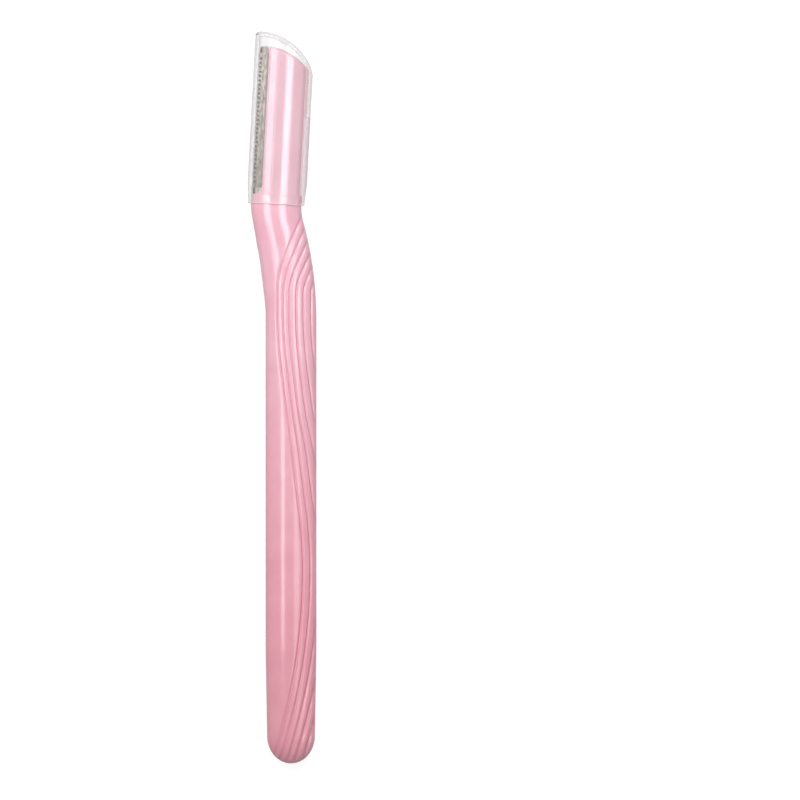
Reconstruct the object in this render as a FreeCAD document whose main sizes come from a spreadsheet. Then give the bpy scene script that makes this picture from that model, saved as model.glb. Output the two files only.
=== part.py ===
import FreeCAD, Part
import os
import Sketcher

# An eyebrow razor lying flat: an oval moulded handle with flowing grip grooves and a
# leaning head, a blade and its folded skin guard held in the head, and a clear cap.
# +Y runs from the butt to the cap, -X is the blade side and +Z is up.

# Driving sizes: name, value in millimetres, degrees or counts, and what it measures
SIZES = (
    ("grip_length", 91.1, "butt to the start of the neck"),
    ("grip_width", 10.45, "grip across its broad face"),
    ("grip_thickness", 5.6, "grip through its broad face"),
    ("oval_round", 0.68, "end radius of every oval as a share of its half thickness"),
    ("butt_width", 9.84, "width where the rounded butt begins"),
    ("butt_thickness", 5.3, "thickness where the rounded butt begins"),
    ("butt_round", 5.7, "length of the rounded butt"),
    ("butt_taper", 17.6, "length over which the grip narrows to the butt"),
    ("neck_offset", 3.05, "step of the neck towards the blade side"),
    ("neck_low_radius", 70.0, "long bend of the neck towards the blade side"),
    ("neck_top_radius", 15.0, "short bend of the neck back to the head"),
    ("head_tilt", 3.05, "lean of the head away from the blade side, degrees"),
    ("collar_length", 1.95, "collar that the cap is pushed over"),
    ("groove_count", 6, "grip grooves"),
    ("groove_width", 0.5, "width of a groove"),
    ("groove_depth", 0.25, "depth of a groove"),
    ("groove_pitch", 1.475, "one groove to the next, seen from above"),
    ("groove_land", 0.4, "smooth side of the handle that the grooves stop short of"),
    ("wave_trough", 2.87, "reach of the first groove to the blade side"),
    ("wave_trough_rise", 4.3, "start of the neck to the upper end of the straight trough"),
    ("wave_trough_flat", 4.9, "length of the straight trough"),
    ("wave_crest", 2.25, "reach of the first groove to the back"),
    ("wave_crest_height", 43.7, "butt to the upper end of the straight crest"),
    ("wave_crest_flat", 4.0, "length of the straight crest"),
    ("wave_top_span", 18.0, "upper end of the trough to the end of the groove"),
    ("wave_top_radius", 29.8, "bend of the upper end"),
    ("wave_foot_span", 37.8, "lower end of the crest to the end of the groove"),
    ("wave_foot_radius", 121.7, "bend of the lower end"),
    ("cap_wall", 0.7, "side wall of the cap"),
    ("cap_fit", 0.175, "clearance between the collar and the cap"),
    ("cap_head_room", 2.15, "clear height above the head inside the cap"),
    ("cap_roof_wall", 0.65, "roof of the cap"),
    ("cap_roof_radius", 12.4, "curve of the slanted roof"),
    ("cap_roof_fall", 5.6, "fall of the roof beyond the fall of the head"),
    ("cap_roof_margin", 0.6, "reach of the roof curve beyond the walls"),
    ("rib_height", 18.2, "rim to the top of the rib inside the back wall"),
    ("rib_width", 2.4, "width of that rib"),
    ("rib_gap", 0.2, "clearance between the rib and the head"),
    ("head_back_gap", 0.8, "back of the head to the cap's inner wall"),
    ("head_face_gap", 0.85, "broad face of the head to the cap's inner wall"),
    ("head_face_radius", 8.6, "curve of the broad face, highest on the middle line of the head"),
    ("head_back_round", 1.2, "depth of the rounded back of the head"),
    ("head_bevel", 1.95, "width of the bevel towards the blade"),
    ("head_bevel_fall", 0.47, "fall of that bevel from the ridge to the lip"),
    ("head_web", 1.3, "thickness of the web below the foot of the blade"),
    ("head_over", 0.1, "height of the head above the blade"),
    ("head_drop", 3.9, "fall of the head's top towards its back"),
    ("head_top_radius", 13.5, "curve of the head's top"),
    ("window_round", 1.8, "round where the lip meets the collar"),
    ("blade_length", 30.3, "length of the blade"),
    ("blade_reveal", 1.85, "width of blade that stands out of the lip"),
    ("blade_thickness", 0.25, "thickness of the blade"),
    ("blade_grind", 0.7, "width of the ground edge"),
    ("blade_corner", 1.0, "rounded upper corner of the blade"),
    ("tang_depth", 2.3, "depth of the tang behind the lip"),
    ("tang_inset", 1.4, "step from each end of the blade to the tang"),
    ("post_diameter", 1.0, "moulded posts through the tang"),
    ("post_inset", 1.15, "centre of a post from the back of the tang"),
    ("post_spacing", 18.0, "distance between the two posts"),
    ("post_fit", 0.05, "clearance between a post and its hole"),
    ("guard_gap", 0.2, "skin guard to the cap's inner wall"),
    ("guard_foil", 0.1, "foil of the skin guard"),
    ("guard_tip_gap", 0.05, "cutting edge to the fold of the guard"),
    ("guard_grip", 0.6, "width of guard that the lip holds"),
    ("guard_pitch", 0.9, "distance between the guard's slots"),
    ("guard_slot", 0.45, "width of a slot"),
    ("guard_slot_depth", 0.85, "depth of a slot from the fold"),
)

doc = FreeCAD.newDocument("eyebrow_razor")
sheet = doc.addObject("Spreadsheet::Sheet", "sizes")
for row, (size, amount, note) in enumerate(SIZES, start=1):
    sheet.set(f"A{row}", note)
    sheet.set(f"B{row}", str(amount))
    sheet.setAlias(f"B{row}", size)
doc.recompute()

# Places that several pieces share, as expressions of the driving sizes.
# In the head's own frame x runs across the head, y along it and z through it,
# from the middle of the cap's rim.
GRIP_HALF = "(sizes.grip_width / 2)"
GRIP_DEEP = "(sizes.grip_thickness / 2)"
CAVITY_HALF = f"({GRIP_HALF} + sizes.cap_fit)"
CAVITY_DEEP = f"({GRIP_DEEP} + sizes.cap_fit)"
CAP_HALF = f"({CAVITY_HALF} + sizes.cap_wall)"
CAP_DEEP = f"({CAVITY_DEEP} + sizes.cap_wall)"
GUARD_EDGE = f"({CAVITY_HALF} - sizes.guard_gap)"
BLADE_EDGE = f"({GUARD_EDGE} - sizes.guard_foil - sizes.guard_tip_gap)"
HEAD_FRONT = f"({BLADE_EDGE} - sizes.blade_reveal)"
HEAD_RIDGE = f"({HEAD_FRONT} - sizes.head_bevel)"
HEAD_BACK = f"({CAVITY_HALF} - sizes.head_back_gap)"
HEAD_DEEP = f"({CAVITY_DEEP} - sizes.head_face_gap)"
BLADE_FOOT = "sizes.collar_length"
BLADE_TOP = f"({BLADE_FOOT} + sizes.blade_length)"
TANG_FOOT = f"({BLADE_FOOT} + sizes.tang_inset)"
TANG_TOP = f"({BLADE_TOP} - sizes.tang_inset)"
TANG_BACK = f"({HEAD_FRONT} - sizes.tang_depth)"
HEAD_TOP = f"({BLADE_TOP} + sizes.head_over)"
CAP_TOP = f"({HEAD_TOP} + sizes.cap_head_room + sizes.cap_roof_wall)"
CAP_FALL = "(sizes.head_drop + sizes.cap_roof_fall)"

# The neck turns towards the blade side by the bend and then back past it to the head's lean
BOTH_RADII = "(sizes.neck_low_radius + sizes.neck_top_radius)"
LEAN_RUN = "(sizes.neck_low_radius + sizes.neck_top_radius * cos(sizes.head_tilt))"
BEND_COS = f"(({LEAN_RUN} - sizes.neck_offset) / {BOTH_RADII})"
BEND_SIN = f"sqrt(1 - {BEND_COS} ^ 2)"
BEND = f"(acos({BEND_COS}) / 1 deg)"
TURN_X = f"(-sizes.neck_low_radius * (1 - {BEND_COS}))"
TURN_Y = f"(sizes.grip_length + sizes.neck_low_radius * {BEND_SIN})"
TOP_X = f"({TURN_X} + sizes.neck_top_radius * {BEND_COS})"
TOP_Y = f"({TURN_Y} + sizes.neck_top_radius * {BEND_SIN})"
RIM_HEIGHT = f"({TURN_Y} + sizes.neck_top_radius * ({BEND_SIN} + sin(sizes.head_tilt)))"

# The origin lies under the middle of the capped razor's box
CAP_LEFT = f"(sizes.neck_offset + {CAP_HALF} * cos(sizes.head_tilt))"
SHIFT_X = f"(({CAP_LEFT} - {GRIP_HALF}) / 2)"
CAP_REACH = f"({CAP_TOP} * cos(sizes.head_tilt) + {CAP_HALF} * sin(sizes.head_tilt))"
SHIFT_Y = f"(-({RIM_HEIGHT} + {CAP_REACH}) / 2)"
RIM_PLACE = f"vector(-sizes.neck_offset; {RIM_HEIGHT}; 0)"
IN_HANDLE = f"placement({RIM_PLACE}; rotation(-sizes.head_tilt; 0; 0))"


def value(expression):
    """The number that an expression of the driving sizes gives."""
    return float(sheet.evalExpression(expression))


def from_butt(x, y):
    """Placement in the part's frame of something drawn at a place measured from the butt."""
    return f"vector({SHIFT_X} + {x}; {SHIFT_Y} + {y}; {CAP_DEEP})"


def in_head(along="0"):
    """Placement in the part's frame of a piece drawn in the head's frame."""
    x = f"(-sizes.neck_offset + {along} * sin(sizes.head_tilt))"
    y = f"({RIM_HEIGHT} + {along} * cos(sizes.head_tilt))"
    return f"placement({from_butt(x, y)}; rotation(-sizes.head_tilt; 0; 0))"


def bind(thing, **expressions):
    """Tie properties of an object to the sheet."""
    for prop, expression in expressions.items():
        thing.setExpression(prop, expression)
    return thing


def arc_between(start, end, radius):
    """Arc that turns left for a positive radius and right for a negative one."""
    chord = end - start
    normal = FreeCAD.Vector(-chord.y, chord.x, 0).normalize()
    rise = (radius ** 2 - (chord.Length / 2) ** 2) ** 0.5
    side = 1 if radius > 0 else -1
    centre = (start + end) * 0.5 + normal * rise * side
    first, last = (start, end) if radius > 0 else (end, start)
    across = FreeCAD.Vector(1, 0, 0)
    angles = [across.getAngle(p - centre) * (1 if p.y >= centre.y else -1) for p in (first, last)]
    circle = Part.Circle(centre, FreeCAD.Vector(0, 0, 1), abs(radius))
    return Part.ArcOfCircle(circle, angles[0], angles[1])


def draw(sketch, corners):
    """Closed outline. Each corner holds x, y and, where an arc follows it, that arc's radius."""
    points = [FreeCAD.Vector(value(x), value(y), 0) for x, y, *rest in corners]
    ends = []
    for i, (x, y, *rest) in enumerate(corners):
        start, end = points[i], points[(i + 1) % len(points)]
        if not rest:
            sketch.addGeometry(Part.LineSegment(start, end))
            ends.append((1, 2))
            continue
        radius = value(rest[0])
        sketch.addGeometry(arc_between(start, end, radius))
        ends.append((1, 2) if radius > 0 else (2, 1))
        limit = sketch.addConstraint(Sketcher.Constraint("Radius", i, abs(radius)))
        sketch.setExpression(f"Constraints[{limit}]", f"abs({rest[0]})")
    for i, (x, y, *rest) in enumerate(corners):
        before = i - 1 if i else len(corners) - 1
        here = (i, ends[i][0])
        sketch.addConstraint(Sketcher.Constraint("Coincident", before, ends[before][1], *here))
        for kind, expression in (("DistanceX", x), ("DistanceY", y)):
            limit = sketch.addConstraint(Sketcher.Constraint(kind, -1, 1, *here, value(expression)))
            sketch.setExpression(f"Constraints[{limit}]", expression)
    return sketch


def plan(name, corners):
    """Outline seen from above."""
    return draw(doc.addObject("Sketcher::SketchObject", name), corners)


def section(name, corners):
    """Outline seen along the length: its y is the height."""
    sketch = doc.addObject("Sketcher::SketchObject", name)
    sketch.Placement = FreeCAD.Placement(FreeCAD.Vector(), FreeCAD.Rotation(0, 0, 90))
    return draw(sketch, corners)


def oval(name, half_width, half_thickness, x="0", y="0", yaw="0"):
    """Oval of four arcs, square to the length."""
    wide = f"({half_width})"
    deep = f"({half_thickness})"
    end = f"({deep} * sizes.oval_round)"
    face = f"(({wide} ^ 2 + {deep} ^ 2 - 2 * {wide} * {end}) / (2 * ({deep} - {end})))"
    across = f"(({wide} - {end}) * {face} / ({face} - {end}))"
    up = f"(({face} - {deep}) * {end} / ({face} - {end}))"
    ring = section(name, [
        (across, f"-{up}", end),
        (across, up, face),
        (f"-{across}", up, end),
        (f"-{across}", f"-{up}", face),
    ])
    place = f"placement(vector({x}; {y}; 0); rotation({yaw}; 0; 90))"
    return bind(ring, Placement=place)


def extrude(name, outline, direction, forward, backward="0"):
    """Solid from a closed outline."""
    solid = doc.addObject("Part::Extrusion", name)
    solid.Base = outline
    solid.DirMode = "Custom"
    solid.Dir = direction
    solid.Solid = True
    return bind(solid, LengthFwd=forward, LengthRev=backward)


ALONG = FreeCAD.Vector(0, 1, 0)
THROUGH = FreeCAD.Vector(0, 0, 1)


def cut(name, base, tool):
    """One solid less another."""
    result = doc.addObject("Part::Cut", name)
    result.Base = base
    result.Tool = tool
    return result


def common(name, first, second):
    """What two solids share."""
    result = doc.addObject("Part::Common", name)
    result.Base = first
    result.Tool = second
    return result


def fuse(name, shapes):
    """Several solids as one."""
    result = doc.addObject("Part::MultiFuse", name)
    result.Shapes = shapes
    result.Refine = True
    return result


# Handle
# Angles round the rounded butt at which its ovals stand, from the tip to its full width
DOME_ANGLES = (6, 24, 46, 68, 90)


def loft(name, rings, ruled):
    """Solid through a row of ovals."""
    solid = doc.addObject("Part::Loft", name)
    solid.Sections = rings
    solid.Solid = True
    solid.Ruled = ruled
    return solid


def turn(name, ring, centre_x, centre_y, angle):
    """Solid from an oval swung about an upright axis."""
    solid = doc.addObject("Part::Revolution", name)
    solid.Source = ring
    solid.Axis = THROUGH
    solid.Solid = True
    return bind(solid, Base=f"vector({centre_x}; {centre_y}; 0)", Angle=angle)


def handle_form(name, inset):
    """Rounded butt, grip, neck and collar in one, with every side drawn in by the inset."""
    dome = []
    for angle in DOME_ANGLES:
        dome.append(oval(
            f"{name}_dome_{angle}",
            f"(sizes.butt_width / 2 - {inset}) * sin({angle})",
            f"(sizes.butt_thickness / 2 - {inset}) * sin({angle})",
            y=f"sizes.butt_round - (sizes.butt_round - {inset}) * cos({angle})",
        ))
    half = f"{GRIP_HALF} - {inset}"
    deep = f"{GRIP_DEEP} - {inset}"
    taper_top = "(sizes.butt_round + sizes.butt_taper)"
    taper = oval(f"{name}_taper", half, deep, y=taper_top)
    low = oval(f"{name}_low", half, deep, y="sizes.grip_length")
    top = oval(f"{name}_top", half, deep, TURN_X, TURN_Y, BEND)
    rim = oval(f"{name}_rim", half, deep)
    collar = extrude(f"{name}_collar", rim, ALONG, BLADE_FOOT)
    collar.setExpression("Placement", IN_HANDLE)
    return fuse(name, [
        loft(f"{name}_butt", dome, False),
        loft(f"{name}_cone", [dome[-1], taper], True),
        extrude(f"{name}_grip", taper, ALONG, f"sizes.grip_length - {taper_top}"),
        turn(f"{name}_low_bend", low, "-sizes.neck_low_radius", "sizes.grip_length", BEND),
        turn(f"{name}_top_bend", top, TOP_X, TOP_Y, f"-{BEND} - sizes.head_tilt"),
        collar,
    ])


# Path of the first groove, from its lower end: bend, straight crest, two bends, straight trough, bend
CREST_TOP = "sizes.wave_crest_height"
CREST_FOOT = f"({CREST_TOP} - sizes.wave_crest_flat)"
TROUGH_TOP = "(sizes.grip_length + sizes.wave_trough_rise)"
TROUGH_FOOT = f"({TROUGH_TOP} - sizes.wave_trough_flat)"
SWING = "(sizes.wave_crest + sizes.wave_trough)"
SWING_RADIUS = f"((({TROUGH_FOOT} - {CREST_TOP}) ^ 2 + {SWING} ^ 2) / (4 * {SWING}))"
FOOT_SWING = "(sizes.wave_foot_radius - sqrt(sizes.wave_foot_radius ^ 2 - sizes.wave_foot_span ^ 2))"
TOP_SWING = "(sizes.wave_top_radius - sqrt(sizes.wave_top_radius ^ 2 - sizes.wave_top_span ^ 2))"
WAVE = (
    (f"sizes.wave_crest - {FOOT_SWING}", f"{CREST_FOOT} - sizes.wave_foot_span"),
    ("sizes.wave_crest", CREST_FOOT),
    ("sizes.wave_crest", CREST_TOP),
    ("(sizes.wave_crest - sizes.wave_trough) / 2", f"({CREST_TOP} + {TROUGH_FOOT}) / 2"),
    ("-sizes.wave_trough", TROUGH_FOOT),
    ("-sizes.wave_trough", TROUGH_TOP),
    (f"-sizes.wave_trough + {TOP_SWING}", f"{TROUGH_TOP} + sizes.wave_top_span"),
)
# Radius of each stretch of that path, positive where it turns left on the way up
WAVE_BENDS = (
    "sizes.wave_foot_radius",
    None,
    SWING_RADIUS,
    f"-{SWING_RADIUS}",
    None,
    "-sizes.wave_top_radius",
)


def groove_band(k):
    """Upright band along groove k, which reaches through the whole handle."""
    offset = f"{k} * sizes.groove_pitch"
    right = []
    left = []
    for (x, y), bend in zip(WAVE, WAVE_BENDS + (None,)):
        right.append((f"{x} + {offset} + sizes.groove_width / 2", y) + ((bend,) if bend else ()))
    for (x, y), bend in zip(reversed(WAVE), reversed((None,) + WAVE_BENDS)):
        left.append((f"{x} + {offset} - sizes.groove_width / 2", y) + ((f"-({bend})",) if bend else ()))
    outline = plan(f"groove_{k}", right + left)
    return extrude(f"groove_band_{k}", outline, THROUGH, CAP_DEEP, CAP_DEEP)


# The grooves run out along a line inside the back of the handle, which bends with the neck
SIDE = f"({GRIP_HALF} - sizes.groove_land)"
FRONT = f"(-{GRIP_HALF} - sizes.neck_offset)"
groove_zone = plan("groove_zone", [
    (FRONT, "0"),
    (SIDE, "0"),
    (SIDE, "sizes.grip_length", f"sizes.neck_low_radius + {SIDE}"),
    (
        f"{TURN_X} + {SIDE} * {BEND_COS}",
        f"{TURN_Y} + {SIDE} * {BEND_SIN}",
        f"-(sizes.neck_top_radius - {SIDE})",
    ),
    (
        f"-sizes.neck_offset + {SIDE} * cos(sizes.head_tilt)",
        f"{RIM_HEIGHT} - {SIDE} * sin(sizes.head_tilt)",
    ),
    (FRONT, RIM_HEIGHT),
])
zone = extrude("groove_reach", groove_zone, THROUGH, CAP_DEEP, CAP_DEEP)
blank = handle_form("handle_blank", "0")
core = handle_form("handle_core", "sizes.groove_depth")
bands = doc.addObject("Part::Compound", "groove_bands")
bands.Links = [groove_band(k) for k in range(int(value("sizes.groove_count")))]
grooves = cut("grooves", common("groove_paths", bands, zone), core)
grip = cut("grooved_grip", blank, grooves)

FACE_RADIUS = "sizes.head_face_radius"
FACE_START = f"(-{HEAD_RIDGE})"
FACE_END = f"({HEAD_BACK} - sizes.head_back_round)"
START_DEEP = f"({HEAD_DEEP} - {FACE_RADIUS} + sqrt({FACE_RADIUS} ^ 2 - {FACE_START} ^ 2))"
END_DEEP = f"({HEAD_DEEP} - {FACE_RADIUS} + sqrt({FACE_RADIUS} ^ 2 - {FACE_END} ^ 2))"
BACK_RADIUS = f"({END_DEEP} ^ 2 + sizes.head_back_round ^ 2) / (2 * sizes.head_back_round)"
LIP_DEEP = f"({START_DEEP} - sizes.head_bevel_fall)"
WEB_EDGE = f"({HEAD_FRONT} + sizes.window_round)"
head_section = section("head_section", [
    (f"-{WEB_EDGE}", "-sizes.head_web / 2"),
    (f"-{HEAD_FRONT}", f"-{LIP_DEEP}"),
    (FACE_START, f"-{START_DEEP}", FACE_RADIUS),
    (FACE_END, f"-{END_DEEP}", BACK_RADIUS),
    (FACE_END, END_DEEP, FACE_RADIUS),
    (FACE_START, START_DEEP),
    (f"-{HEAD_FRONT}", LIP_DEEP),
    (f"-{WEB_EDGE}", "sizes.head_web / 2"),
])
head_plan = plan("head_plan", [
    (f"-{WEB_EDGE}", "0"),
    (HEAD_BACK, "0"),
    (HEAD_BACK, f"{HEAD_TOP} - sizes.head_drop", "sizes.head_top_radius"),
    (f"-{HEAD_FRONT}", HEAD_TOP),
    (f"-{HEAD_FRONT}", f"{BLADE_FOOT} + sizes.window_round", "-sizes.window_round"),
    (f"-{WEB_EDGE}", BLADE_FOOT),
])
head = common(
    "head_form",
    extrude("head_bar", head_section, ALONG, HEAD_TOP),
    extrude("head_slab", head_plan, THROUGH, CAP_DEEP, CAP_DEEP),
)
head.setExpression("Placement", IN_HANDLE)

# Blade, and the slot and posts that hold it
HALF_STEEL = "sizes.blade_thickness / 2"
blade_plan = plan("blade_plan", [
    (f"-{BLADE_EDGE}", BLADE_FOOT),
    (f"-{HEAD_FRONT}", BLADE_FOOT),
    (f"-{HEAD_FRONT}", TANG_FOOT),
    (f"-{TANG_BACK}", TANG_FOOT),
    (f"-{TANG_BACK}", TANG_TOP),
    (f"-{HEAD_FRONT}", TANG_TOP),
    (f"-{HEAD_FRONT}", BLADE_TOP),
    (f"-{BLADE_EDGE} + sizes.blade_corner", BLADE_TOP, "sizes.blade_corner"),
    (f"-{BLADE_EDGE}", f"{BLADE_TOP} - sizes.blade_corner"),
])
blade_slab = extrude("blade_slab", blade_plan, THROUGH, HALF_STEEL, HALF_STEEL)
blade_section = section("blade_section", [
    (f"-{BLADE_EDGE}", "0"),
    (f"-{BLADE_EDGE} + sizes.blade_grind", f"-{HALF_STEEL}"),
    (f"-{TANG_BACK}", f"-{HALF_STEEL}"),
    (f"-{TANG_BACK}", HALF_STEEL),
    (f"-{BLADE_EDGE} + sizes.blade_grind", HALF_STEEL),
])
ground_blade = common("ground_blade", blade_slab, extrude("blade_bar", blade_section, ALONG, BLADE_TOP))


def post_pair(name, radius):
    """Two upright pins through the tang."""
    pins = []
    for side in (-1, 1):
        pin = doc.addObject("Part::Cylinder", f"{name}_{len(pins)}")
        x = f"-{TANG_BACK} - sizes.post_inset"
        y = f"({TANG_FOOT} + {TANG_TOP}) / 2 + sizes.post_spacing / 2 * {side}"
        spot = f"placement(vector({x}; {y}; -sizes.blade_thickness); rotation(0; 0; 0))"
        pins.append(bind(pin, Radius=radius, Height="2 * sizes.blade_thickness", Placement=spot))
    return fuse(name, pins)


posts = post_pair("posts", "sizes.post_diameter / 2")
post_holes = post_pair("post_holes", "sizes.post_diameter / 2 + sizes.post_fit")
blade = cut("blade", ground_blade, post_holes)
blade.setExpression("Placement", in_head())

# Skin guard: foil folded over the cutting edge, with a row of fine slots across the fold
guard = doc.addObject("PartDesign::Body", "skin_guard")
guard_planes = {plane.Role: plane for plane in guard.Origin.OriginFeatures}
GUARD_REACH = f"({HEAD_FRONT} - sizes.guard_grip)"
GUARD_LENGTH = "(sizes.blade_length - 2 * sizes.tang_inset)"
OUTER_FOLD = f"({HALF_STEEL} + sizes.guard_foil)"
FOLD_START = f"(-{GUARD_EDGE} + {OUTER_FOLD})"
fold_sketch = guard.newObject("Sketcher::SketchObject", "guard_fold")
fold_sketch.AttachmentSupport = [(guard_planes["XZ_Plane"], "")]
fold_sketch.MapMode = "FlatFace"
draw(fold_sketch, [
    (f"-{GUARD_REACH}", f"-{OUTER_FOLD}"),
    (f"-{GUARD_REACH}", f"-{HALF_STEEL}"),
    (FOLD_START, f"-{HALF_STEEL}"),
    (f"-{GUARD_EDGE} + sizes.guard_foil", "0"),
    (FOLD_START, HALF_STEEL),
    (f"-{GUARD_REACH}", HALF_STEEL),
    (f"-{GUARD_REACH}", OUTER_FOLD),
    (FOLD_START, OUTER_FOLD),
    (f"-{GUARD_EDGE}", f"{HALF_STEEL} / 2"),
    (f"-{GUARD_EDGE}", f"-{HALF_STEEL} / 2"),
    (FOLD_START, f"-{OUTER_FOLD}"),
])
foil = guard.newObject("PartDesign::Pad", "guard_foil")
foil.Profile = fold_sketch
foil.Reversed = True
foil.setExpression("Length", GUARD_LENGTH)
doc.recompute()

SLOT_COUNT = f"trunc(({GUARD_LENGTH} - sizes.guard_pitch) / sizes.guard_pitch)"
FIRST_SLOT = f"(({GUARD_LENGTH} - ({SLOT_COUNT} - 1) * sizes.guard_pitch) / 2)"
slot_sketch = guard.newObject("Sketcher::SketchObject", "guard_slot_outline")
slot_sketch.AttachmentSupport = [(guard_planes["XY_Plane"], "")]
slot_sketch.MapMode = "FlatFace"
draw(slot_sketch, [
    (f"-{GUARD_EDGE} - sizes.guard_foil", f"{FIRST_SLOT} - sizes.guard_slot / 2"),
    (f"-{GUARD_EDGE} + sizes.guard_slot_depth", f"{FIRST_SLOT} - sizes.guard_slot / 2"),
    (f"-{GUARD_EDGE} + sizes.guard_slot_depth", f"{FIRST_SLOT} + sizes.guard_slot / 2"),
    (f"-{GUARD_EDGE} - sizes.guard_foil", f"{FIRST_SLOT} + sizes.guard_slot / 2"),
])
slot = guard.newObject("PartDesign::Pocket", "guard_slot_cut")
slot.Profile = slot_sketch
slot.Type = "ThroughAll"
slot.Midplane = True
doc.recompute()

slot_row = guard.newObject("PartDesign::LinearPattern", "guard_slots")
slot_row.Originals = [slot]
slot_row.Direction = (slot_sketch, ["V_Axis"])
slot_row.setExpression("Length", f"({SLOT_COUNT} - 1) * sizes.guard_pitch")
slot_row.setExpression("Occurrences", SLOT_COUNT)
guard.Tip = slot_row
guard.setExpression("Placement", in_head(TANG_FOOT))

# The slot in the head takes the blade and both legs of the guard, and leaves the posts
guard_room = doc.addObject("Part::Box", "guard_room")
bind(
    guard_room,
    Length=f"{GUARD_EDGE} - {GUARD_REACH}",
    Width=GUARD_LENGTH,
    Height=f"2 * {OUTER_FOLD}",
    Placement=f"placement(vector(-{GUARD_EDGE}; {TANG_FOOT}; -{OUTER_FOLD}); rotation(0; 0; 0))",
)
blade_slot = cut("blade_slot", fuse("slot_room", [blade_slab, guard_room]), posts)
blade_slot.setExpression("Placement", IN_HANDLE)
handle = cut("handle", fuse("solid_handle", [grip, head]), blade_slot)
handle.setExpression("Placement", f"placement({from_butt('0', '0')}; rotation(0; 0; 0))")


# Cap
def cap_form(name, half_width, half_thickness, foot, top, radius):
    """Oval sleeve closed by a curved roof that falls towards the back."""
    ring = oval(f"{name}_ring", half_width, half_thickness)
    sleeve = extrude(f"{name}_sleeve", ring, ALONG, top, f"-({foot})")
    reach = f"({half_width} + sizes.cap_roof_margin)"
    roof = plan(f"{name}_roof", [
        (f"-{reach}", f"{foot} - sizes.cap_roof_margin"),
        (reach, f"{foot} - sizes.cap_roof_margin"),
        (reach, f"{CAP_TOP} - {CAP_FALL}", radius),
        (f"-{reach}", top),
    ])
    slab = extrude(f"{name}_slab", roof, THROUGH, CAP_DEEP, CAP_DEEP)
    return common(name, sleeve, slab)


cap_solid = cap_form("cap_solid", CAP_HALF, CAP_DEEP, "0", CAP_TOP, "sizes.cap_roof_radius")
cavity = cap_form(
    "cap_cavity",
    CAVITY_HALF,
    CAVITY_DEEP,
    "-sizes.cap_wall",
    f"{CAP_TOP} - sizes.cap_roof_wall",
    "sizes.cap_roof_radius - sizes.cap_roof_wall",
)
RIB_FACE = f"({HEAD_BACK} + sizes.rib_gap)"
RIB_FOOT = f"({BLADE_FOOT} + sizes.rib_gap)"
rib = doc.addObject("Part::Box", "cap_rib")
bind(
    rib,
    Length=f"{CAP_HALF} - {RIB_FACE}",
    Width=f"sizes.rib_height - {RIB_FOOT}",
    Height="sizes.rib_width",
    Placement=f"placement(vector({RIB_FACE}; {RIB_FOOT}; -sizes.rib_width / 2); rotation(0; 0; 0))",
)
cap = cut("cap", cap_solid, cut("cap_hollow", cavity, rib))
cap.setExpression("Placement", in_head())

# Check every object and piece, then write the pieces
doc.recompute()
failed = [thing.Name for thing in doc.Objects if {"Invalid", "Error"} & set(thing.State)]
if failed:
    raise RuntimeError(f"objects that failed: {failed}")
os.makedirs("parts", exist_ok=True)
for piece in (handle, blade, guard, cap):
    shape = piece.Shape
    if shape.isNull() or not shape.isValid() or len(shape.Solids) != 1:
        raise RuntimeError(f"{piece.Label} is not one valid solid")
for piece in (handle, blade, guard, cap):
    piece.Shape.exportStep(f"parts/{piece.Label}.step")
    print(piece.Label, round(piece.Shape.Volume, 2), piece.Shape.BoundBox)
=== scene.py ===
import math

import bpy
import numpy as np
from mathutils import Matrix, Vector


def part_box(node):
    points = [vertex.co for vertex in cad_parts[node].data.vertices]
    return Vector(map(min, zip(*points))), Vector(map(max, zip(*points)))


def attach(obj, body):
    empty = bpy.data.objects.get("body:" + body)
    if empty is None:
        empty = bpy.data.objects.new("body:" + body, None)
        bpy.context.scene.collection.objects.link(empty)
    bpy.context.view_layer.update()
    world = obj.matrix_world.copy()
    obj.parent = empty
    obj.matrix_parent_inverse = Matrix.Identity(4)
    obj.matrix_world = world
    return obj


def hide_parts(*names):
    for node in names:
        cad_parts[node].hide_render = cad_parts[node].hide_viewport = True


# An eyebrow razor seen straight from above on a white table: a glossy moulded handle with
# flowing grip grooves, a steel blade with a folded skin guard, and a clear push-on cap.
# Shapes are worked out in millimetres from the butt of the handle and then put in the frame.

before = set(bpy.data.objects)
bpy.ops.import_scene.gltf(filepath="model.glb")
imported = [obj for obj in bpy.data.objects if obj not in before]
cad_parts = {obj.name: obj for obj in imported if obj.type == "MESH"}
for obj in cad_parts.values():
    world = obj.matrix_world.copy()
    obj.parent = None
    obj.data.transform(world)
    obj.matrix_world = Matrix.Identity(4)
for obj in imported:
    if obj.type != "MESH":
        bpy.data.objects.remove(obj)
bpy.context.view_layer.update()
MM = 0.001

# Handle
GRIP_HALF = 5.225
GRIP_DEEP = 2.8
OVAL_ROUND = 0.68
GRIP_LENGTH = 91.1
BUTT_HALF = 4.92
BUTT_DEEP = 2.65
BUTT_ROUND = 5.7
BUTT_TAPER = 17.6
BUTT_TIP = math.radians(6)
NECK_OFFSET = 3.05
NECK_LOW_RADIUS = 70.0
NECK_TOP_RADIUS = 15.0
HEAD_TILT = math.radians(3.05)
COLLAR_LENGTH = 1.95
COLLAR_EDGE = 0.15
FLANK_SWELL = 0.2
FLANK_SWELL_AT = 99.5
FLANK_SWELL_REACH = 8.0
FLANK_WAIST = 0.3
FLANK_WAIST_AT = 111.3
FLANK_WAIST_REACH = 4.2
# Runs from the butt over which the plastic goes from painted shade at the butt to painted light at the
# neck
PAINTED_LIGHT_FROM = 30.0
PAINTED_LIGHT_TO = 85.0

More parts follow.
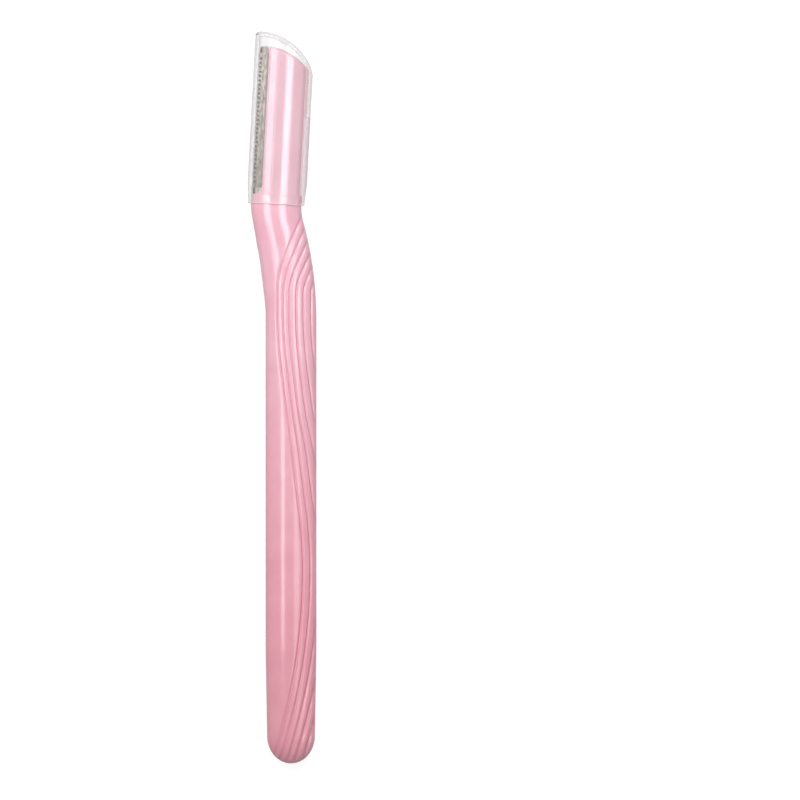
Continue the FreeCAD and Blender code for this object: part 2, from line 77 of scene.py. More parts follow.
# Grip grooves
GROOVE_COUNT = 7
GROOVE_DEPTH = 0.24
GROOVE_HALF = 0.3
GROOVE_FOOT_HALF = 0.62
GROOVE_FOOT_REACH = 30.0
GROOVE_FADE = 1.6
GROOVE_PITCH = 1.54
RIB_CROWN = 0.06
FAN = 0.13
FAN_REACH = 7.0
GATHERED = 2
GATHER = 0.3
GATHER_AT = 84.0
GATHER_REACH = 21.0
GATHER_FADE = 10.0
WAVE_TROUGH = 2.9
WAVE_TROUGH_TOP = GRIP_LENGTH + 5.1
WAVE_TROUGH_FOOT = GRIP_LENGTH + 1.9
WAVE_LEAN = math.radians(7.5)
WAVE_CREST = 2.55
WAVE_CREST_TOP = 40.0
WAVE_CREST_FOOT = 39.6
WAVE_TOP_RADIUS = 18.0
WAVE_TOP_LEAN = math.radians(22.8)
WAVE_FOOT_RADIUS = 124.0
WAVE_FOOT_LEAN = math.radians(20)

# How far the surface has to face up for the grooves to start, and how much more for their full depth
GROOVE_FACING = 0.15
GROOVE_FACING_REACH = 0.35

# Cap
CAP_FIT = 0.175
CAP_WALL = 0.7
CAVITY_HALF = GRIP_HALF + CAP_FIT
CAVITY_DEEP = GRIP_DEEP + CAP_FIT
CAP_HALF = CAVITY_HALF + CAP_WALL
CAP_DEEP = CAVITY_DEEP + CAP_WALL
CAP_ROOF_WALL = 0.65
CAP_ROOF_RADIUS = 12.4
CAP_ROOF_MARGIN = 0.6
CAP_ROOF_MIDDLE = -0.5
CAP_EDGE = 0.6
CAVITY_EDGE = 0.3
RIM_EDGE = 0.12
RIM_THINNING = 0.28
RIM_THINNING_REACH = 5.0
RIB_TOP = 18.2
RIB_HALF = 1.2
RIB_GAP = 0.2
RIB_EASE = 0.14

# Painted reflection: the pink of the head painted into the cap's wall, by the distance past the head's
# back and over its top
PINK_REFLECTION_EARLY = 0.3
PINK_REFLECTION_RISE = 0.5
PINK_REFLECTION_HOLD = 0.2
PINK_REFLECTION_REACH = 1.3
PINK_REFLECTION_LOSS = 0.65
PINK_REFLECTION_FADE = 4.0

# Head and blade
BLADE_LENGTH = 30.3
BLADE_REVEAL = 2.1
GUARD_ROOM = 0.2
GUARD_COVER = 0.15
GUARD_EDGE = CAVITY_HALF - GUARD_ROOM
BLADE_EDGE = GUARD_EDGE - GUARD_COVER
HEAD_FRONT = BLADE_EDGE - BLADE_REVEAL
HEAD_BEVEL = 1.7
HEAD_BEVEL_FALL = 0.41
HEAD_RIDGE = HEAD_FRONT - HEAD_BEVEL
HEAD_RIDGE_LINE = 0.07
HEAD_BACK_ROOM = 0.8
HEAD_BACK = CAVITY_HALF - HEAD_BACK_ROOM
HEAD_BACK_ROUND = 1.2
HEAD_FACE_ROOM = 0.85
HEAD_DEEP = CAVITY_DEEP - HEAD_FACE_ROOM
HEAD_FACE_RADIUS = 8.6
HEAD_LIP_ROUND = 0.4
HEAD_LIP_FALL = 0.28
HEAD_LIP_LEAST = 0.03
HEAD_WEB = 1.3
HEAD_OVER_BLADE = 0.1
HEAD_TOP = COLLAR_LENGTH + BLADE_LENGTH + HEAD_OVER_BLADE
HEAD_TOP_RADIUS = 13.5
HEAD_TOP_MIDDLE = 0.7
HEAD_DROP = 3.9
HEAD_EDGE = 0.7
HEAD_ROOT = 1.2
HEAD_ROOT_TOP = 0.2
WINDOW_ROUND = 2.05
WINDOW_TOP = COLLAR_LENGTH + WINDOW_ROUND
SLOT_REACH = 0.27
SLOT_SEAT = 0.5
SLOT_DEEP = 0.12
SLOT_FOOT = COLLAR_LENGTH + 0.1
SLOT_TOP = COLLAR_LENGTH + BLADE_LENGTH - 0.35
CAP_TOP_ROOM = 2.1
CAP_TOP = HEAD_TOP + CAP_TOP_ROOM + CAP_ROOF_WALL
CAP_FALL = HEAD_DROP + 5.6
RIB_FACE = HEAD_BACK + RIB_GAP
RIB_FOOT = COLLAR_LENGTH + RIB_GAP

# Skin guard
TANG_INSET = 1.4
GUARD_FOIL = 0.1
GUARD_FOLD = 0.175
GUARD_BITE = 0.6
GUARD_REACH = HEAD_FRONT - GUARD_BITE
GUARD_FOOT = COLLAR_LENGTH + TANG_INSET
GUARD_LENGTH = BLADE_LENGTH - 2 * TANG_INSET
GUARD_PITCH = 0.9
GUARD_SLOT = 0.45
GUARD_SLOT_DEPTH = 0.85
GUARD_LIP_SHADE = 0.65
GUARD_LIP_REACH = 0.45
GUARD_FOOT_SHADE = 0.5

# Points and rings of the meshes
HANDLE_AROUND = 288
BUTT_RINGS = 26
TAPER_RINGS = 46
GRIP_FIRST_STEP = 0.4
GRIP_STEP = 0.36
WEB_POINTS = 6
BEVEL_POINTS = 14
FACE_POINTS = 34
BACK_POINTS = 14
FRONT_POINTS = 8
SECTION_SMOOTHING = 2
WINDOW_RINGS = 12
HEAD_RINGS = 60
LEG_POINTS = 9
SLOT_POINTS = 5
FOLD_POINTS = 13
CAP_AROUND = 224
CAP_RINGS = 48
RIB_END_RINGS = 4
RIB_RINGS = 18
CAVITY_RINGS = 22
CORNER_TURNS = np.radians((0, 30, 60, 90))
EDGE_TURNS = np.radians((0, 22.5, 45, 67.5, 90))
ROOF_SHARES = (0.85, 0.7, 0.55, 0.4, 0.25, 0.1)
SHARP = math.radians(40)
CAP_SHARP = math.radians(50)

# Colours
PINK_DARK = (0.73, 0.335, 0.415, 1)
PINK_LIGHT = (0.77, 0.375, 0.455, 1)
# Painted shade in the grip grooves
PINK_GROOVE_SHADE = (0.73, 0.315, 0.395, 1)
# Painted shade at the butt and painted light at the neck, multiplied into the plastic's colour
BUTT_PAINTED_SHADE = (1, 0.915, 0.9, 1)
NECK_PAINTED_LIGHT = (0.965, 1.1, 1.07, 1)
BLADE_DARK = (0.50, 0.44, 0.385, 1)
BLADE_LIGHT = (0.78, 0.695, 0.61, 1)
GUARD_DARK = (0.36, 0.30, 0.25, 1)
GUARD_LIGHT = (0.98, 0.87, 0.76, 1)
# Painted shade for steel faces that lean away from flat, standing in for their dark reflection
STEEL_GROUND_SHADE = (0.045, 0.038, 0.033, 1)
STEEL_SHADED = (0.14, 0.115, 0.105, 1)
CLEAR_FACING = (0.93, 0.93, 0.935, 1)
CLEAR_ASLANT = (0.4, 0.36, 0.37, 1)
CLEAR_GLOSS = (0.35, 0.35, 0.35, 1)
# Painted reflection of the pink head in the cap's wall
CLEAR_PAINTED_REFLECTION = (0.97, 0.66, 0.73, 1)
CLEAR_THROUGH = (0.97, 0.972, 0.975, 1)
CLEAR_BODY = (0.5, 0.46, 0.46, 1)
RIM_WHITE = (0.9, 0.88, 0.89, 1)
TABLE_GREY = (0.22, 0.22, 0.22, 1)
WORLD_WHITE = (1, 1, 1, 1)

# Roughness, as a range over the grain of a surface, in all, or added on the head's bevel
PLASTIC_ROUGH = (0.1, 0.2)
BEVEL_ROUGH = 0.2
BLADE_ROUGH = (0.1, 0.18)
GUARD_ROUGH = (0.1, 0.2)
GROUND_ROUGH = 0.5
CLEAR_ROUGH = (0.1, 0.2)
RIM_ROUGH = (0.35, 0.6)

# Direction and stretch of the grinding lines, and the leans at which steel is flat and ground
LINE_TURN = math.radians(32)
BLADE_LINES = (1, 0.12, 1)
GUARD_LINES = (1, 0.25, 1)
FLAT_LEAN = math.radians(3)
GROUND_LEAN = math.radians(8)

# The neck's two bends
BEND_COS = (NECK_LOW_RADIUS + NECK_TOP_RADIUS * math.cos(HEAD_TILT) - NECK_OFFSET) / (
    NECK_LOW_RADIUS + NECK_TOP_RADIUS
)
BEND = math.acos(BEND_COS)
TURN_X = -NECK_LOW_RADIUS * (1 - BEND_COS)
TURN_Y = GRIP_LENGTH + NECK_LOW_RADIUS * math.sin(BEND)
TOP_X = TURN_X + NECK_TOP_RADIUS * BEND_COS
TOP_Y = TURN_Y + NECK_TOP_RADIUS * math.sin(BEND)
RIM_HEIGHT = TOP_Y + NECK_TOP_RADIUS * math.sin(HEAD_TILT)
LOW_RUN = NECK_LOW_RADIUS * BEND
TOP_RUN = NECK_TOP_RADIUS * (BEND + HEAD_TILT)
NECK_END = GRIP_LENGTH + LOW_RUN + TOP_RUN
HANDLE_END = NECK_END + COLLAR_LENGTH

# The grip's middle line and the butt in the frame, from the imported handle
handle_low, handle_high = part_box("handle")
AXIS_X = handle_high.x / MM - GRIP_HALF
BUTT_Y = handle_low.y / MM - BUTT_ROUND * (1 - math.cos(BUTT_TIP))
MIDDLE_Z = (handle_low.z + handle_high.z) / 2 / MM


def in_frame(points):
    """Points in millimetres from the butt as metres in the frame."""
    return (np.asarray(points) + (AXIS_X, BUTT_Y, MIDDLE_Z)) * MM


def in_head(across, along, up):
    """A place in the head's own frame, from the middle of the cap's rim, seen from the butt."""
    x = -NECK_OFFSET + across * math.cos(HEAD_TILT) + along * math.sin(HEAD_TILT)
    y = RIM_HEIGHT - across * math.sin(HEAD_TILT) + along * math.cos(HEAD_TILT)
    return np.stack([x, y, np.broadcast_to(up, np.shape(x))], axis=-1)


def ease(amount):
    """Smooth step from 0 to 1."""
    amount = np.clip(amount, 0, 1)
    return amount * amount * (3 - 2 * amount)


# Meshes


def add_piece(name, vertices, faces, material, body, sharp=SHARP):
    """Smooth-shaded mesh piece that rides a body."""
    mesh = bpy.data.meshes.new(name)
    mesh.from_pydata([tuple(v) for v in vertices], [], faces)
    mesh.validate()
    mesh.polygons.foreach_set("use_smooth", [True] * len(mesh.polygons))
    mesh.set_sharp_from_angle(angle=sharp)
    mesh.materials.append(material)
    piece = bpy.data.objects.new(name, mesh)
    bpy.context.scene.collection.objects.link(piece)
    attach(piece, body)
    return piece


def mark_points(piece, name, values):
    """Named value on each point of a piece, 0 on the points after the last value."""
    mark = piece.data.attributes.new(name, "FLOAT", "POINT")
    rest = len(piece.data.vertices) - len(values)
    mark.data.foreach_set("value", list(values) + [0.0] * rest)


def tube_faces(rows, columns):
    """Quads between rings that each hold as many points."""
    faces = []
    for r in range(rows - 1):
        for c in range(columns):
            here = r * columns
            after = (c + 1) % columns
            faces.append((here + c, here + after, here + columns + after, here + columns + c))
    return faces


def closed_tube(rings):
    """Vertices and faces of a row of rings with a fan over each end."""
    rows, columns = rings.shape[:2]
    vertices = list(rings.reshape(-1, 3))
    faces = tube_faces(rows, columns)
    for ring, flip in ((0, True), (rows - 1, False)):
        middle = len(vertices)
        vertices.append(rings[ring].mean(axis=0))
        for c in range(columns):
            a = ring * columns + c
            b = ring * columns + (c + 1) % columns
            faces.append((b, a, middle) if flip else (a, b, middle))
    return vertices, faces


def oval(half, deep, count):
    """Points and outward normals round an oval of four arcs, evenly spaced."""
    end = deep * OVAL_ROUND
    face = (half ** 2 + deep ** 2 - 2 * half * end) / (2 * (deep - end))
    lean = math.atan2(half - end, face - deep)
    side = math.pi / 2 - lean
    turns = np.array([0, side, side + 2 * lean, 3 * side + 2 * lean, 3 * side + 4 * lean, 2 * math.pi])
    lengths = np.diff(turns) * (end, face, end, face, end)
    stops = np.concatenate([[0], np.cumsum(lengths)])
    angle = np.interp(np.arange(count) / count * stops[-1], stops, turns)
    normal = np.stack([np.cos(angle), np.sin(angle)], axis=-1)
    on_face = np.abs(normal[:, 1]) > math.cos(lean)
    radius = np.where(on_face, face, end)
    centre_x = np.where(on_face, 0, np.sign(normal[:, 0]) * (half - end))
    centre_z = np.where(on_face, -np.sign(normal[:, 1]) * (face - deep), 0)
    points = np.stack([centre_x, centre_z], axis=-1) + normal * radius[:, None]
    return points, normal


def arc_height(across, low, high, radius):
    """Height of the arc that rises from a low point on the back to a high one on the blade side."""
    low = np.array(low)
    high = np.array(high)
    chord = high - low
    length = np.linalg.norm(chord)
    normal = np.array([-chord[1], chord[0]]) / length
    centre = (low + high) / 2 + normal * math.sqrt(radius ** 2 - (length / 2) ** 2)
    reach = np.clip(across - centre[0], -radius, radius)
    return centre[1] + np.sqrt(radius ** 2 - reach ** 2)


def normals_of(section):
    """Outward normals of a closed outline that runs anticlockwise."""
    along = np.roll(section, -1, axis=0) - np.roll(section, 1, axis=0)
    normal = np.stack([along[:, 1], -along[:, 0]], axis=-1)
    return normal / np.linalg.norm(normal, axis=1)[:, None]


def roofed_rings(section, heights, roof, edge, middle, shape):
    """Rings up a shaped outline, round its upper edge and over the roof to a small ring inside."""
    normal = normals_of(section)
    wall_top = roof(section[:, 0]) - edge
    centre = np.array([middle, 0.0])
    rings = []

    def add_ring(points, height):
        rings.append(np.column_stack([points, np.broadcast_to(height, len(points))]))

    for row in heights:
        height = np.minimum(row, wall_top)
        add_ring(shape(section, height), height)
    for turn in EDGE_TURNS:
        points = section - normal * edge * (1 - math.cos(turn))
        add_ring(points, roof(points[:, 0]) - edge * (1 - math.sin(turn)))
    last = points
    for share in ROOF_SHARES:
        points = centre + (last - centre) * share
        add_ring(points, roof(points[:, 0]))
    return np.array(rings)


def head_frame(rings):
    """Rings of across, up and along as places from the butt."""
    return in_head(rings[..., 0], rings[..., 2], rings[..., 1])


# Materials


def feed(tree, node, inputs):
    """Give inputs of a node, by name or number, their values or the outputs that feed them."""
    for socket, value in inputs.items():
        if isinstance(value, bpy.types.NodeSocket):
            tree.links.new(value, node.inputs[socket])
        else:
            node.inputs[socket].default_value = value


def add_node(tree, kind, inputs, **settings):
    """New shader node with its settings and its inputs."""
    node = tree.nodes.new("ShaderNode" + kind)
    for name, value in settings.items():
        setattr(node, name, value)
    feed(tree, node, inputs)
    return node


def new_material(name):
    """Node material with its tree and its Principled shader."""
    material = bpy.data.materials.new(name)
    material.use_nodes = True
    return material, material.node_tree, material.node_tree.nodes["Principled BSDF"]


def add_place(tree):
    """Place on the piece itself."""
    return add_node(tree, "TexCoord", {}).outputs["Object"]


def add_noise(tree, vector, **inputs):
    """Cloudy noise at a place."""
    return add_node(tree, "TexNoise", {"Vector": vector, **inputs}).outputs["Fac"]


def add_mark(tree, name):
    """Value that the points of a piece were marked with."""
    return add_node(tree, "Attribute", {}, attribute_name=name).outputs["Fac"]


def add_part(tree, vector, axis):
    """One axis of a place or a direction."""
    return add_node(tree, "SeparateXYZ", {"Vector": vector}).outputs[axis]


def add_math(tree, operation, *values):
    """Result of a calculation."""
    return add_node(tree, "Math", dict(enumerate(values)), operation=operation).outputs["Value"]


def add_range(tree, value, target, source=(0, 1)):
    """Value carried from one range to another and held at its ends."""
    inputs = {
        "Value": value,
        "From Min": source[0],
        "From Max": source[1],
        "To Min": target[0],
        "To Max": target[1],
    }
    return add_node(tree, "MapRange", inputs).outputs["Result"]


def add_mix(tree, factor, first, second, blend="MIX"):
    """Colour from a first to a second one, or to their product, by a factor."""
    inputs = {"Factor": factor, "A": first, "B": second}
    return add_node(tree, "Mix", inputs, data_type="RGBA", blend_type=blend).outputs["Result"]


def add_ramp(tree, factor, low, high):
    """Colour between two stops, each a place and a colour."""
    ramp = add_node(tree, "ValToRGB", {"Fac": factor})
    for element, (place, colour) in zip(ramp.color_ramp.elements, (low, high)):
        element.position = place
        element.color = colour
    return ramp.outputs["Color"]


def add_bump(tree, height, strength, distance):
    """Normal of a finely uneven surface."""
    inputs = {"Height": height, "Strength": strength, "Distance": distance * MM}
    return add_node(tree, "Bump", inputs).outputs["Normal"]


def moulded_plastic():
    """Glossy pink plastic with a faint uneven tone, painted shade in its grooves, painted light to the
    neck and painted shade to the butt, and moulding waviness.
    """
    material, tree, shader = new_material("moulded_plastic")
    place = add_place(tree)
    cloud = add_noise(tree, place, Scale=160, Detail=3)
    tone = add_ramp(tree, cloud, (0.3, PINK_DARK), (0.7, PINK_LIGHT))
    # Painted shade: a deeper pink where the points are marked by their depth in a groove
    groove_shaded = add_mix(tree, add_mark(tree, "groove"), tone, PINK_GROOVE_SHADE)
    # Painted light and shade along the handle: darker at the butt, lighter at the neck
    painted_light_run = ((BUTT_Y + PAINTED_LIGHT_FROM) * MM, (BUTT_Y + PAINTED_LIGHT_TO) * MM)
    climb = add_range(tree, add_part(tree, place, "Y"), (0, 1), painted_light_run)
    fade = add_mix(tree, climb, BUTT_PAINTED_SHADE, NECK_PAINTED_LIGHT)
    grain = add_noise(tree, place, Scale=1400, Detail=4)
    rough = add_range(tree, grain, PLASTIC_ROUGH)
    feed(tree, shader, {
        "IOR": 1.5,
        "Base Color": add_mix(tree, 1, groove_shaded, fade, "MULTIPLY"),
        "Roughness": add_math(tree, "MULTIPLY_ADD", add_mark(tree, "satin"), BEVEL_ROUGH, rough),
        "Normal": add_bump(tree, grain, strength=0.08, distance=0.02),
    })
    return material


def brushed_steel(name, dark, light, rough_range, line_scale):
    """Steel with fine grinding lines across the blade, satin with painted shade where its face is
    ground aslant, and painted shade where its points are marked.
    """
    material, tree, shader = new_material(name)
    turned = {"Rotation": (0, 0, HEAD_TILT + LINE_TURN), "Scale": line_scale}
    stretched = add_node(tree, "Mapping", {"Vector": add_place(tree), **turned}).outputs["Vector"]
    lines = add_noise(tree, stretched, Scale=2600, Detail=5, Roughness=0.65)
    flat_tone = add_ramp(tree, lines, (0.38, dark), (0.62, light))
    flat_rough = add_range(tree, lines, rough_range)
    normal = add_node(tree, "NewGeometry", {}).outputs["True Normal"]
    level = add_math(tree, "ABSOLUTE", add_part(tree, normal, "Z"))
    flat = add_range(tree, level, (0, 1), (math.cos(GROUND_LEAN), math.cos(FLAT_LEAN)))
    # Painted shade: faces leaning past the flat ones get a near black colour
    tone = add_mix(tree, flat, STEEL_GROUND_SHADE, flat_tone)
    feed(tree, shader, {
        "Metallic": 1,
        "Base Color": add_mix(tree, add_mark(tree, "shade"), tone, STEEL_SHADED),
        "Roughness": add_range(tree, flat, (GROUND_ROUGH, flat_rough)),
        "Normal": add_bump(tree, lines, strength=0.2, distance=0.01),
    })
    return material


def clear_plastic():
    """Clear polished plastic that lets lamps through, with a painted reflection of the pink head where
    its wall is beside the head.
    """
    material, tree, shader = new_material("clear_plastic")
    facing = add_node(tree, "LayerWeight", {"Blend": 0.5}).outputs["Facing"]
    tone = add_ramp(tree, facing, (0.15, CLEAR_FACING), (0.65, CLEAR_ASLANT))
    where = add_node(tree, "NewGeometry", {}).outputs["Position"]
    head_top = in_frame(in_head(np.array(HEAD_BACK), np.array(HEAD_TOP - HEAD_DROP), 0.0))[1]
    over_head = (head_top, head_top + PINK_REFLECTION_FADE * MM)
    beside = add_range(tree, add_part(tree, where, "Y"), (1, 0), over_head)
    painted_reflection = add_math(tree, "MULTIPLY", add_mark(tree, "painted_reflection"), beside)
    haze = add_noise(tree, add_place(tree), Scale=300, Detail=4)
    feed(tree, shader, {
        "IOR": 1.45,
        "Specular Tint": CLEAR_GLOSS,
        "Transmission Weight": 0.93,
        "Base Color": add_mix(tree, painted_reflection, tone, CLEAR_PAINTED_REFLECTION, "MULTIPLY"),
        "Roughness": add_range(tree, haze, CLEAR_ROUGH),
    })
    rays = add_node(tree, "LightPath", {}).outputs
    through = add_node(tree, "BsdfTransparent", {"Color": CLEAR_THROUGH}).outputs["BSDF"]
    surface = shader.outputs["BSDF"]
    for ray in ("Is Shadow Ray", "Is Reflection Ray"):
        choice = add_node(tree, "MixShader", {"Fac": rays[ray], 1: surface, 2: through})
        surface = choice.outputs["Shader"]
    body = add_node(tree, "VolumeAbsorption", {"Color": CLEAR_BODY, "Density": 65}).outputs["Volume"]
    feed(tree, tree.nodes["Material Output"], {"Surface": surface, "Volume": body})
    return material


def frosted_edge():
    """Cut rim of the clear cap, whitened by fine scratches."""
    material, tree, shader = new_material("frosted_edge")
    scratches = add_noise(tree, add_place(tree), Scale=2500)
    feed(tree, shader, {
        "Base Color": RIM_WHITE,
        "Transmission Weight": 0.35,
        "Roughness": add_range(tree, scratches, RIM_ROUGH),
    })
    return material


PLASTIC = moulded_plastic()
BLADE_STEEL = brushed_steel("blade_steel", BLADE_DARK, BLADE_LIGHT, BLADE_ROUGH, BLADE_LINES)
GUARD_STEEL = brushed_steel("guard_steel", GUARD_DARK, GUARD_LIGHT, GUARD_ROUGH, GUARD_LINES)
CLEAR = clear_plastic()
FROSTED = frosted_edge()


# Handle


def middle_line(run):
    """Place and heading of the handle's middle line, a run of millimetres from the butt."""
    if run <= GRIP_LENGTH:
        return 0.0, run, 0.0
    run -= GRIP_LENGTH
    if run <= LOW_RUN:
        turn = run / NECK_LOW_RADIUS
        x = -NECK_LOW_RADIUS * (1 - math.cos(turn))
        return x, GRIP_LENGTH + NECK_LOW_RADIUS * math.sin(turn), turn
    run -= LOW_RUN
    if run <= TOP_RUN:
        turn = BEND - run / NECK_TOP_RADIUS
        return TOP_X - NECK_TOP_RADIUS * math.cos(turn), TOP_Y - NECK_TOP_RADIUS * math.sin(turn), turn
    run -= TOP_RUN
    return -NECK_OFFSET + run * math.sin(HEAD_TILT), RIM_HEIGHT + run * math.cos(HEAD_TILT), -HEAD_TILT


def blade_flank(run):
    """Swell of the neck's blade side, which is straighter than the bends."""
    swell = FLANK_SWELL * ease(1 - abs(run - FLANK_SWELL_AT) / FLANK_SWELL_REACH)
    return swell - FLANK_WAIST * ease(1 - abs(run - FLANK_WAIST_AT) / FLANK_WAIST_REACH)


def bend(distance, radius, lean):
    """Sideways shift along an arc that turns to a lean and the straight that goes on from it."""
    turned = radius * math.sin(lean)
    within = np.clip(distance, 0, turned)
    straight = np.maximum(distance - turned, 0) * math.tan(lean)
    return radius - np.sqrt(radius ** 2 - within ** 2) + straight


def first_groove(y):
    """Place across of the first groove at each height: arcs and straights from foot to neck."""
    swing = WAVE_CREST + WAVE_TROUGH
    rise = WAVE_TROUGH_FOOT - WAVE_CREST_TOP
    spare = rise * math.tan(WAVE_LEAN) - swing
    radius = spare / (2 * math.sin(WAVE_LEAN) * math.tan(WAVE_LEAN) - 2 * (1 - math.cos(WAVE_LEAN)))
    foot = WAVE_CREST - bend(WAVE_CREST_FOOT - y, WAVE_FOOT_RADIUS, WAVE_FOOT_LEAN)
    leaving = WAVE_CREST - bend(y - WAVE_CREST_TOP, radius, WAVE_LEAN)
    reaching = -WAVE_TROUGH + bend(WAVE_TROUGH_FOOT - y, radius, WAVE_LEAN)
    top = -WAVE_TROUGH + bend(y - WAVE_TROUGH_TOP, WAVE_TOP_RADIUS, WAVE_TOP_LEAN)
    middle = (WAVE_CREST_TOP + WAVE_TROUGH_FOOT) / 2
    x = np.where(y < WAVE_CREST_FOOT, foot, WAVE_CREST)
    x = np.where(y > WAVE_CREST_TOP, leaving, x)
    x = np.where(y > middle, reaching, x)
    return np.where(y > WAVE_TROUGH_TOP, top, x)


def groove_depth(x, y, facing):
    """Depth of the grip grooves at a place, less on the sides where the surface turns away."""
    pitch = GROOVE_PITCH + FAN * ease((y - WAVE_TROUGH_TOP) / FAN_REACH)
    close = pitch - GATHER * ease((GATHER_REACH - np.abs(y - GATHER_AT)) / GATHER_FADE)
    across = x - first_groove(y)
    gathered = GATHERED * close
    number = np.where(across < gathered, across / close, GATHERED + (across - gathered) / pitch)
    inside = (number > -0.5) & (number < GROOVE_COUNT - 0.5)
    half = GROOVE_HALF + (GROOVE_FOOT_HALF - GROOVE_HALF) * ease(1 - y / GROOVE_FOOT_REACH)
    off = np.abs(number - np.round(number)) * pitch / half
    groove = GROOVE_DEPTH * np.maximum(1 - off ** 2, 0) ** 2
    crown = RIB_CROWN * (1 - np.abs(np.sin(math.pi * number)))
    fade = ease(y / GROOVE_FADE) * ease((facing - GROOVE_FACING) / GROOVE_FACING_REACH)
    return np.where(inside, (groove + crown) * fade, 0)


def handle_rows():
    """Half width, half thickness and run of each ring along the handle."""
    rows = []
    for turn in np.linspace(BUTT_TIP, math.pi / 2, BUTT_RINGS):
        size = math.sin(turn)
        rows.append((BUTT_HALF * size, BUTT_DEEP * size, BUTT_ROUND * (1 - math.cos(turn))))
    for share in np.linspace(0, 1, TAPER_RINGS)[1:]:
        half = BUTT_HALF + (GRIP_HALF - BUTT_HALF) * share
        deep = BUTT_DEEP + (GRIP_DEEP - BUTT_DEEP) * share
        rows.append((half, deep, BUTT_ROUND + BUTT_TAPER * share))
    grip_foot = BUTT_ROUND + BUTT_TAPER + GRIP_FIRST_STEP
    for run in np.arange(grip_foot, HANDLE_END - COLLAR_EDGE, GRIP_STEP):
        rows.append((GRIP_HALF, GRIP_DEEP, run))
    for turn in CORNER_TURNS:
        inset = COLLAR_EDGE * (1 - math.cos(turn))
        run = HANDLE_END - COLLAR_EDGE * (1 - math.sin(turn))
        rows.append((GRIP_HALF - inset, GRIP_DEEP - inset, run))
    return rows


def build_handle():
    """Butt, grip, neck and collar as one closed skin with its grooves."""
    rings = []
    groove_shading = []
    for half, deep, run in handle_rows():
        points, normal = oval(half, deep, HANDLE_AROUND)
        points[:, 0] *= np.where(points[:, 0] < 0, 1 + blade_flank(run) / half, 1)
        x, y, heading = middle_line(run)
        across = np.array([math.cos(heading), math.sin(heading), 0])
        up = np.array([0, 0, 1])
        ring = np.array([x, y, 0]) + points[:, :1] * across + points[:, 1:] * up
        outward = normal[:, :1] * across + normal[:, 1:] * up
        depth = groove_depth(ring[:, 0], ring[:, 1], np.abs(normal[:, 1]))
        rings.append(ring - outward * depth[:, None])
        # The depth share in a groove marks where the plastic gets painted shade
        groove_shading += list(depth / (GROOVE_DEPTH + RIB_CROWN))
    vertices, faces = closed_tube(np.array(rings))
    piece = add_piece("handle_grip", in_frame(vertices), faces, PLASTIC, "razor")
    mark_points(piece, "groove", groove_shading)
    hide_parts("handle")


def head_section(front):
    """Outline across the head, from the lip round the broad faces and the back."""
    drop = HEAD_DEEP - HEAD_FACE_RADIUS
    face_end = HEAD_BACK - HEAD_BACK_ROUND
    ridge_deep = drop + math.sqrt(HEAD_FACE_RADIUS ** 2 - HEAD_RIDGE ** 2)
    lip = ridge_deep - HEAD_BEVEL_FALL
    web_top = lip - HEAD_LIP_FALL
    web_fall = (web_top - HEAD_WEB / 2) / WINDOW_ROUND
    end_deep = drop + math.sqrt(HEAD_FACE_RADIUS ** 2 - face_end ** 2)
    back_radius = (end_deep ** 2 + HEAD_BACK_ROUND ** 2) / (2 * HEAD_BACK_ROUND)
    back_turn = math.atan2(end_deep, face_end - HEAD_BACK + back_radius)
    half = []
    for across in np.linspace(-front, -HEAD_FRONT, WEB_POINTS)[:-1]:
        half.append((across, -web_top - web_fall * (across + HEAD_FRONT)))
    for share in np.linspace(0, 1, BEVEL_POINTS)[:-1]:
        across = -HEAD_FRONT + (HEAD_FRONT - HEAD_RIDGE) * share
        rounded = max(1 - (across + HEAD_FRONT) / HEAD_LIP_ROUND, 0)
        half.append((across, -lip - (ridge_deep - lip) * share + HEAD_LIP_FALL * rounded ** 2))
    ridge = len(half)
    for across in np.linspace(-HEAD_RIDGE, face_end, FACE_POINTS)[:-1]:
        half.append((across, -drop - math.sqrt(HEAD_FACE_RADIUS ** 2 - across ** 2)))
    for turn in np.linspace(-back_turn, 0, BACK_POINTS):
        across = HEAD_BACK - back_radius + back_radius * math.cos(turn)
        half.append((across, back_radius * math.sin(turn)))
    other = [(across, -up) for across, up in reversed(half[:-1])]
    front_up = web_top - web_fall * (front - HEAD_FRONT)
    front_face = [(-front, up) for up in np.linspace(front_up, -front_up, FRONT_POINTS)[1:-1]]
    outline = np.array(half + other + front_face)
    for _ in range(SECTION_SMOOTHING):
        outline = (np.roll(outline, 1, axis=0) + 2 * outline + np.roll(outline, -1, axis=0)) / 4
    outline[ridge, 1] += HEAD_RIDGE_LINE
    outline[2 * (len(half) - 1) - ridge, 1] -= HEAD_RIDGE_LINE
    return outline


def head_roof(across):
    """Height of the head's top, which falls to the back."""
    low = (HEAD_BACK, HEAD_TOP - HEAD_DROP)
    high = (-HEAD_FRONT, HEAD_TOP)
    return arc_height(across, low, high, HEAD_TOP_RADIUS)


def webbed(section, height):
    """Outline of the head at a height, with the web that rounds off the foot of the blade."""
    climb = np.clip(WINDOW_TOP - height.mean(), 0, WINDOW_ROUND)
    reach = WINDOW_ROUND - math.sqrt(WINDOW_ROUND ** 2 - climb ** 2)
    return head_section(HEAD_FRONT + max(reach, HEAD_LIP_LEAST))


